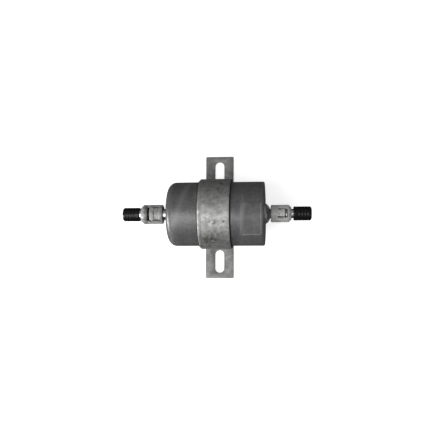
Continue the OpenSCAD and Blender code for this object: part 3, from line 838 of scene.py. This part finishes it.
def drawn_tube():
    """Bright plated tube with draw lines along its length, with painted shade where the retainer hides
    it.
    """
    material, tree, shader, place = finish_for("drawn_tube", Metallic=1.0)
    drawn = stretched(tree, place, (0.05, 1, 1))
    lines = mask(tree, HAIRLINES, drawn, size=1300, width=0.06, amount=0.6)
    clouds = mask(tree, PATCHES, place, size=380, low=0.4, high=0.7)
    base = over(tree, (0.62, 0.62, 0.61), clouds, 0.5, (0.42, 0.42, 0.41))
    base = over(tree, base, lines, 0.3, grey(0.25))
    along = coordinate(tree, place, X)
    # painted shade: the tube is darkened along each retainer, where the sleeve shades it
    inlet_painted_shade = edge_rub(tree, place, along, -55.5 * MM, 10 * MM)
    outlet_painted_shade = edge_rub(tree, place, along, 52.5 * MM, 12 * MM)
    darkening = calc(tree, "MAXIMUM", inlet_painted_shade, outlet_painted_shade)
    base = over(tree, base, darkening, 1.9, grey(0.03))
    wire(tree, shader, base_color=base, roughness=between(tree, clouds, 0.16, 0.3))
    relief(tree, shader, (lines, 0.008 * MM), (grained(tree, place, 3000), 0.004 * MM))
    return material


def moulded_retainer(name, tone):
    """Natural nylon gone grey, with a fine moulded grain, flow marks and handling dirt."""
    material, tree, shader, place = finish_for(name, Subsurface_Weight=0.05, Subsurface_Scale=0.6 * MM)
    pale, dull, darkening = [(level, level, 0.975 * level) for level in (tone, 0.72 * tone, 0.3 * tone)]
    flow = mask(tree, PATCHES, stretched(tree, place, (0.35, 1, 1)), size=420, low=0.36, high=0.68)
    dirt = mask(tree, PATCHES, place, size=560, low=0.5, high=0.68)
    specks = mask(tree, SPECKS, place, size=800, reach=0.22, amount=0.1)
    base = tint(tree, flow, pale, dull)
    base = over(tree, base, dirt, 0.75, darkening)
    base = over(tree, base, specks, 0.5, grey(0.06))
    wire(tree, shader, base_color=base, roughness=between(tree, flow, 0.28, 0.4))
    relief(tree, shader, (grained(tree, place, 2600), 0.014 * MM), (flow, 0.03 * MM))
    return material


def soft_vinyl():
    """Black vinyl of the caps, with faint bloom and dust."""
    material, tree, shader, place = finish_for("soft_vinyl")
    shader.inputs["Specular IOR Level"].default_value = 0.17
    bloom = mask(tree, PATCHES, place, size=350, low=0.45, high=0.75)
    dust = mask(tree, SPECKS, place, size=900, reach=0.18, amount=0.16)
    base = tint(tree, bloom, (0.0045, 0.0045, 0.0048), (0.0085, 0.0085, 0.009))
    base = over(tree, base, dust, 0.3, grey(0.07))
    wire(tree, shader, base_color=base, roughness=between(tree, bloom, 0.24, 0.36))
    relief(tree, shader, (grained(tree, place, 1700), 0.018 * MM))
    return material


def matt_rubber(name, tone):
    """Matt black rubber with a fine calendered grain and pale dust."""
    material, tree, shader, place = finish_for(name)
    worn = mask(tree, PATCHES, place, size=500, low=0.4, high=0.7)
    base = tint(tree, worn, grey(tone), grey(2.2 * tone))
    wire(tree, shader, base_color=base, roughness=between(tree, worn, 0.62, 0.8))
    relief(tree, shader, (grained(tree, place, 1400), 0.03 * MM))
    return material


def label_film():
    """Clear-coated grey film, smoother than the wall, with a brighter cut edge."""
    material, tree, shader, place = finish_for("label_film", Coat_Weight=0.05, Coat_Roughness=0.4)
    x0, x1 = span("data_label", X)
    along = coordinate(tree, place, X)
    low_edge = edge_rub(tree, place, along, x0, 0.8 * MM)
    high_edge = edge_rub(tree, place, along, x1, 1.0 * MM)
    lower_edge = edge_rub(tree, place, coordinate(tree, place, Y), span("data_label", Y)[0], 0.9 * MM)
    borders = calc(tree, "MAXIMUM", calc(tree, "MULTIPLY", low_edge, 0.3),
                   calc(tree, "MAXIMUM", high_edge, lower_edge))
    clouds = mask(tree, PATCHES, place, size=140, low=0.35, high=0.7)
    painted_streaks, mottle = painted_streaks_and_mottle(tree, place)
    scratch = mask(tree, HAIRLINES, stretched(tree, place, (1, 0.08, 0.08), (0, 0, 10)), size=150,
                   width=0.004, amount=0.4)
    # painted reflection: a lighter slanted streak across the label
    painted_label_streak = edge_rub(tree, place, slanted(tree, place, -0.21), 24.2 * MM, 3.4 * MM)
    base = tint(tree, clouds, (0.086, 0.086, 0.089), (0.062, 0.062, 0.064))
    base = over(tree, base, mottle, 0.45, (0.042, 0.042, 0.044))
    base = over(tree, base, painted_label_streak, 0.55, (0.15, 0.15, 0.153))
    base = over(tree, base, scratch, 0.4, grey(0.22))
    # painted reflection: the shared slanted streaks lighten the label
    base = over(tree, base, painted_streaks, 0.5, (0.17, 0.17, 0.173))
    base = over(tree, base, borders, 0.7, grey(0.24))
    wire(tree, shader, base_color=base, roughness=between(tree, clouds, 0.52, 0.62))
    relief(tree, shader, (grained(tree, place, 900), 0.006 * MM))
    return material


def pleated_paper():
    """Resin-treated filter paper: fibrous, warm and matt."""
    material, tree, shader, place = finish_for("pleated_paper")
    fibres = mask(tree, HAIRLINES, stretched(tree, place, (1, 0.3, 0.6), (20, 30, 0)), size=2200,
                  width=0.05, amount=0.6)
    resin = mask(tree, PATCHES, place, size=260, low=0.35, high=0.7)
    base = tint(tree, resin, (0.62, 0.47, 0.22), (0.52, 0.37, 0.15))
    base = over(tree, base, fibres, 0.35, (0.74, 0.62, 0.38))
    wire(tree, shader, base_color=base, roughness=between(tree, resin, 0.7, 0.85))
    relief(tree, shader, (fibres, 0.02 * MM), (grained(tree, place, 2600), 0.02 * MM))
    return material


def tinned_sheet():
    """Tinplate of the element's caps, screen and centre tube, with rolling lines."""
    material, tree, shader, place = finish_for("tinned_sheet", Metallic=1.0)
    lines = mask(tree, HAIRLINES, stretched(tree, place, (0.06, 1, 1)), size=1000, width=0.05,
                 amount=0.55)
    clouds = mask(tree, PATCHES, place, size=240, low=0.35, high=0.7)
    base = tint(tree, clouds, (0.58, 0.58, 0.56), (0.46, 0.46, 0.45))
    base = over(tree, base, lines, 0.25, grey(0.3))
    wire(tree, shader, base_color=base, roughness=between(tree, clouds, 0.28, 0.4))
    relief(tree, shader, (lines, 0.008 * MM), (grained(tree, place, 2200), 0.008 * MM))
    return material


def cured_adhesive():
    """Brown plastisol that holds the pleats, with small bubbles."""
    material, tree, shader, place = finish_for("cured_adhesive", Coat_Weight=0.2, Coat_Roughness=0.25)
    bubbles = mask(tree, SPECKS, place, size=900, reach=0.3, amount=0.35)
    clouds = mask(tree, PATCHES, place, size=200, low=0.35, high=0.7)
    base = tint(tree, clouds, (0.26, 0.12, 0.045), (0.19, 0.085, 0.03))
    wire(tree, shader, base_color=over(tree, base, bubbles, 0.5, (0.4, 0.22, 0.1)),
         roughness=between(tree, clouds, 0.35, 0.5))
    relief(tree, shader, (bubbles, 0.05 * MM))
    return material


def spring_wire():
    """Hard-drawn spring wire with an oily dark bloom."""
    material, tree, shader, place = finish_for("spring_wire", Metallic=1.0)
    bloom = mask(tree, PATCHES, place, size=420, low=0.35, high=0.7)
    lines = mask(tree, HAIRLINES, place, size=1500, width=0.04, amount=0.5)
    base = tint(tree, bloom, (0.42, 0.41, 0.40), (0.26, 0.25, 0.24))
    wire(tree, shader, base_color=over(tree, base, lines, 0.3, grey(0.15)),
         roughness=between(tree, bloom, 0.25, 0.4))
    relief(tree, shader, (lines, 0.01 * MM))
    return material


# ---------------------------------------------------------------- assembly

def fit(piece, body, slot, finish, *nodes):
    """Gives a finished piece its material, its body and the nodes that it stands for."""
    piece.data.materials.clear()
    piece.data.materials.append(finish)
    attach(piece, body)
    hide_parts(*nodes)


def coat(finish, *nodes):
    """Gives nodes that stay as they are a new finish in their own slots."""
    for node in nodes:
        for material_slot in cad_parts[node].material_slots:
            material_slot.material = finish


enamel = canister_enamel()
steel = drawn_tube()
# painted shade: the inlet retainer is the same nylon as the outlet's, given a lower tone to look darker
shaded_inlet_nylon = moulded_retainer("shaded_inlet_nylon", 0.28)
outlet_nylon = moulded_retainer("outlet_nylon", 0.42)
vinyl = soft_vinyl()

fit(plate(), "housing", "galvanised_steel", zinc_plated_plate(), "mounting_plate")
fit(band(), "housing", "galvanised_steel", zinc_plated_band(), "clamp_band")
fit(liner(), "housing", "liner_rubber", matt_rubber("liner_rubber", 0.012), "band_liner")
fit(canister(), "housing", "canister_paint", enamel, "can_shell")
fit(blank_label(), "housing", "label_film", label_film(), "data_label")
fit(end_cover(), "housing", "canister_paint", enamel, "end_cover")
fit(boss(), "housing", "boss_steel", brazed_steel(), "outlet_boss")
fit(collar(), "housing", "tube_steel", steel, "inlet_collar")

INLET, OUTLET = -1, 1
fit(pipe("inlet_pipe", "inlet_tube", INLET_TUBE_R, INLET_BEAD_X), "housing", "tube_steel", steel,
    "inlet_tube")
fit(pipe("outlet_pipe", "outlet_tube", OUTLET_TUBE_R, OUTLET_BEAD_X), "housing", "tube_steel", steel,
    "outlet_tube")

fit(retainer("inlet_sleeve", "inlet_retainer", "inlet_finger_front", INLET,
             bore_r=INLET_TUBE_R + RETAINER_FIT, window_extra=1.9 * MM, groove_at=15.2 * MM),
    "inlet_retainer", "retainer_plastic", shaded_inlet_nylon, "inlet_retainer")
fit(retainer("outlet_sleeve", "outlet_retainer", "outlet_finger_front", OUTLET,
             bore_r=OUTLET_TUBE_R + RETAINER_FIT, window_extra=1.8 * MM, groove_at=4.4 * MM),
    "outlet_retainer", "retainer_plastic", outlet_nylon, "outlet_retainer")
for end, side, nylon in (("inlet", INLET, shaded_inlet_nylon), ("outlet", OUTLET, outlet_nylon)):
    for face in ("front", "back"):
        node = f"{end}_finger_{face}"
        fit(finger(f"{end}_clip_{face}", node, side), node, "retainer_plastic", nylon, node)

fit(push_cap("inlet_push_cap", "inlet_cap", INLET_TUBE_R + CAP_FIT, INLET), "inlet_cap", "cap_vinyl",
    vinyl, "inlet_cap")
fit(push_cap("outlet_push_cap", "outlet_cap", OUTLET_TUBE_R + CAP_FIT, OUTLET), "outlet_cap",
    "cap_vinyl", vinyl, "outlet_cap")

coat(matt_rubber("seal_rubber", 0.009), "cover_seal", "outlet_grommet")
coat(pleated_paper(), "filter_paper")
coat(tinned_sheet(), "outer_screen", "centre_tube", "closed_end_cap", "open_end_cap")
coat(cured_adhesive(), "closed_end_potting", "open_end_potting")
coat(spring_wire(), "load_spring")


# ---------------------------------------------------------------- studio

def floor():
    """Plain pale floor under the plate."""
    piece = fresh("floor", bpy.ops.mesh.primitive_plane_add, size=6, location=(0, 0, -0.1 * MM))
    bpy.ops.object.mode_set(mode="OBJECT")
    pale, _, shader, _ = finish_for("pale_floor", Roughness=0.9, Emission_Strength=0.72)
    shader.inputs["Base Color"].default_value = (0.6, 0.6, 0.6, 1)
    shader.inputs["Emission Color"].default_value = (1, 1, 1, 1)
    piece.data.materials.append(pale)
    piece.visible_glossy = False


def soft_light(name, place, size, power, aim=(0, 0, 0.03)):
    """A square lamp aimed at the object and hidden from the camera."""
    lamp = bpy.data.lights.new(name, "AREA")
    lamp.size = size
    lamp.energy = power
    holder = bpy.data.objects.new(name, lamp)
    bpy.context.scene.collection.objects.link(holder)
    holder.location = place
    holder.rotation_euler = (Vector(aim) - Vector(place)).to_track_quat("-Z", "Y").to_euler()
    holder.visible_camera = False


def surroundings():
    """A soft room: pale above, darker toward the horizon."""
    world = bpy.data.worlds.new("room")
    bpy.context.scene.world = world
    world.use_nodes = True
    tree = world.node_tree
    height = coordinate(tree, tree.nodes.new("ShaderNodeTexCoord").outputs["Generated"], Z)
    up = place_node(tree, "MapRange", {"Value": height, "From Min": -0.1, "From Max": 0.9},
                    interpolation_type="SMOOTHSTEP").outputs["Result"]
    room = tint(tree, up, grey(0.03), grey(0.45))
    seen = tint(tree, tree.nodes.new("ShaderNodeLightPath").outputs["Is Camera Ray"], room, grey(0.95))
    tree.links.new(seen, tree.nodes["Background"].inputs["Color"])


def camera():
    """Looks almost straight down, from a little to the outlet side and toward -Y."""
    lens = bpy.data.cameras.new("camera")
    lens.lens = 60.14
    lens.clip_start = 0.01
    holder = bpy.data.objects.new("camera", lens)
    bpy.context.scene.collection.objects.link(holder)
    holder.location = (0.0640, -0.0589, 0.6526)
    holder.rotation_euler = [math.radians(angle) for angle in (5.13, 5.78, 0.14)]
    bpy.context.scene.camera = holder


floor()
surroundings()
soft_light("key", (-0.42, -0.34, 1.05), 0.7, 9.5)
soft_light("side", (-0.14, -0.27, 0.30), 0.10, 0.2, aim=(-0.03, 0, 0.03))
soft_light("rim", (-0.80, -0.24, 0.04), 0.35, 11)
camera()
bpy.context.scene.view_settings.view_transform = "Standard"
